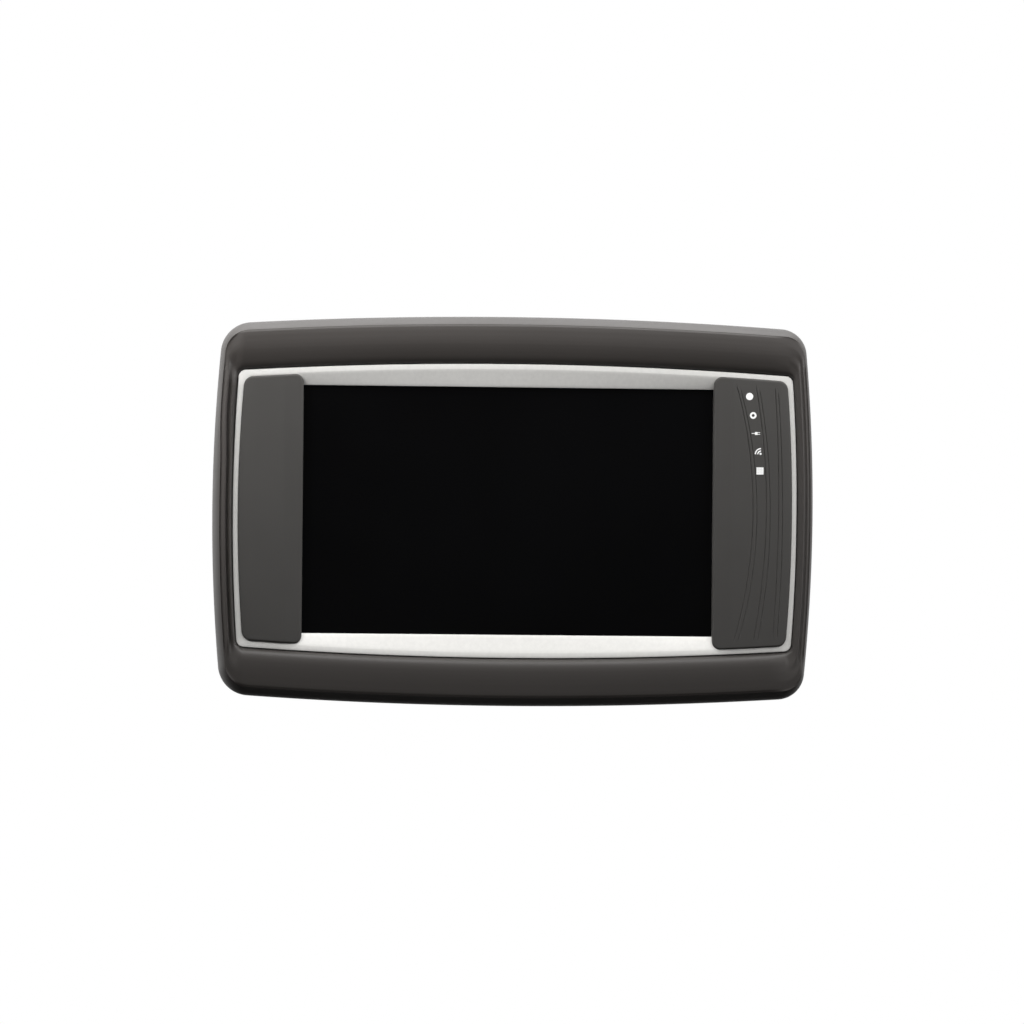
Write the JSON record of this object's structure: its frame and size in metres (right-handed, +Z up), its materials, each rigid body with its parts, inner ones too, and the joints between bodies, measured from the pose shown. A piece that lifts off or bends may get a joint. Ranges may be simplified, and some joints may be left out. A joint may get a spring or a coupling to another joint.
{
  "type": "in-vehicle touchscreen display",
  "caption": "Wide touchscreen display for a vehicle dash, with a bowed soft bumper, silver trim, two side grips, status icons and a rear mounting pattern.",
  "frame": {"origin": "centre of the square rear mounting pattern, on the plane of its four pads", "axes": "-Y out of the screen towards the viewer, +X to the viewer's right, +Z up"},
  "size_m": [0.2246, 0.046, 0.1452],
  "materials": {
    "bumper": "satin soft-touch rubber, dark warm grey",
    "silver": "satin silver",
    "grip": "fine satin, dark grey",
    "white": "smooth white",
    "clear": "frosted clear",
    "pcb": "green solder mask",
    "film_amber": "amber polyimide",
    "foam": "soft foam",
    "black_glass": "glossy black",
    "glass_clear": "clear",
    "lcd": "dark liquid crystal cell",
    "white_film": "white film",
    "sheet_metal": "plain sheet",
    "steel": "zinc plated",
    "black_plastic": "fine texture, black",
    "brass": "machined",
    "chip": "dark mould compound",
    "pad_blue": "soft thermal pad",
    "can": "smooth can",
    "ivory": "ivory nylon",
    "shield": "tinned shield",
    "key": "fine satin",
    "gold": "gold plated",
    "seal_red": "red-brown silicone",
    "ptfe": "white",
    "magnet": "black",
    "gasket": "matte black",
    "plate": "blank satin plate",
    "cable": "thin sheath"
  },
  "bodies": {
    "display": {"bumper_frame": "bumper", "trim_bezel": "silver", "left_grip_cap": "grip", "right_grip_cap": "grip", "record_icon": "white", "ring_icon": "white", "port_icon": "white", "signal_icon": "white", "menu_icon": "white", "icon_light_guide": "clear", "indicator_board": "pcb", "indicator_leds": "white", "indicator_ribbon": "film_amber", "dust_gasket": "foam", "cover_glass": "black_glass", "optical_bond": "glass_clear", "lcd_cell": "lcd", "backlight_stack": "white_film", "lcd_tray": "sheet_metal", "lcd_screws": "steel", "lcd_ribbon": "film_amber", "front_housing": "black_plastic", "foam_pads": "foam", "chassis_sheet": "sheet_metal", "chassis_screws": "steel", "board_spacers": "brass", "main_board": "pcb", "board_screws": "steel", "processor": "chip", "thermal_pad": "pad_blue", "memory_chips": "chip", "power_inductors": "chip", "capacitors": "can", "board_headers": "ivory", "wireless_module": "shield", "coin_cell": "steel", "coin_cell_holder": "black_plastic", "key_switch": "black_plastic", "usb_shell": "steel", "usb_tongue": "white_film", "door_hinge_pin": "steel", "main_connector": "black_plastic", "main_connector_pins": "gold", "connector_seal": "seal_red", "coax_socket": "brass", "coax_insulator": "ptfe", "coax_nut": "steel", "speaker": "magnet", "speaker_ring": "gasket", "housing_seal": "gasket", "rear_cover": "black_plastic", "cover_screws": "steel", "mount_inserts": "brass", "pressure_vent": "black_plastic", "blank_plate": "plate", "antenna_lead": "cable", "speaker_lead": "cable"},
    "power_key": {"power_key": "key", "switch_plunger": "ivory"},
    "port_door": {"port_door": "black_plastic"}
  },
  "joints": [
    {"name": "power_press", "type": "slide", "parent": "display", "child": "power_key", "axis": [0, 0, -1], "range_m": [0, 0.001], "stiffness_N_per_m": 800, "springref_m": -0.001},
    {"name": "port_door_hinge", "type": "hinge", "parent": "display", "child": "port_door", "pos_m": [0.0909, -0.0114, 0.016], "axis": [0, 0, 1], "range_deg": [0, 110]}
  ]
}
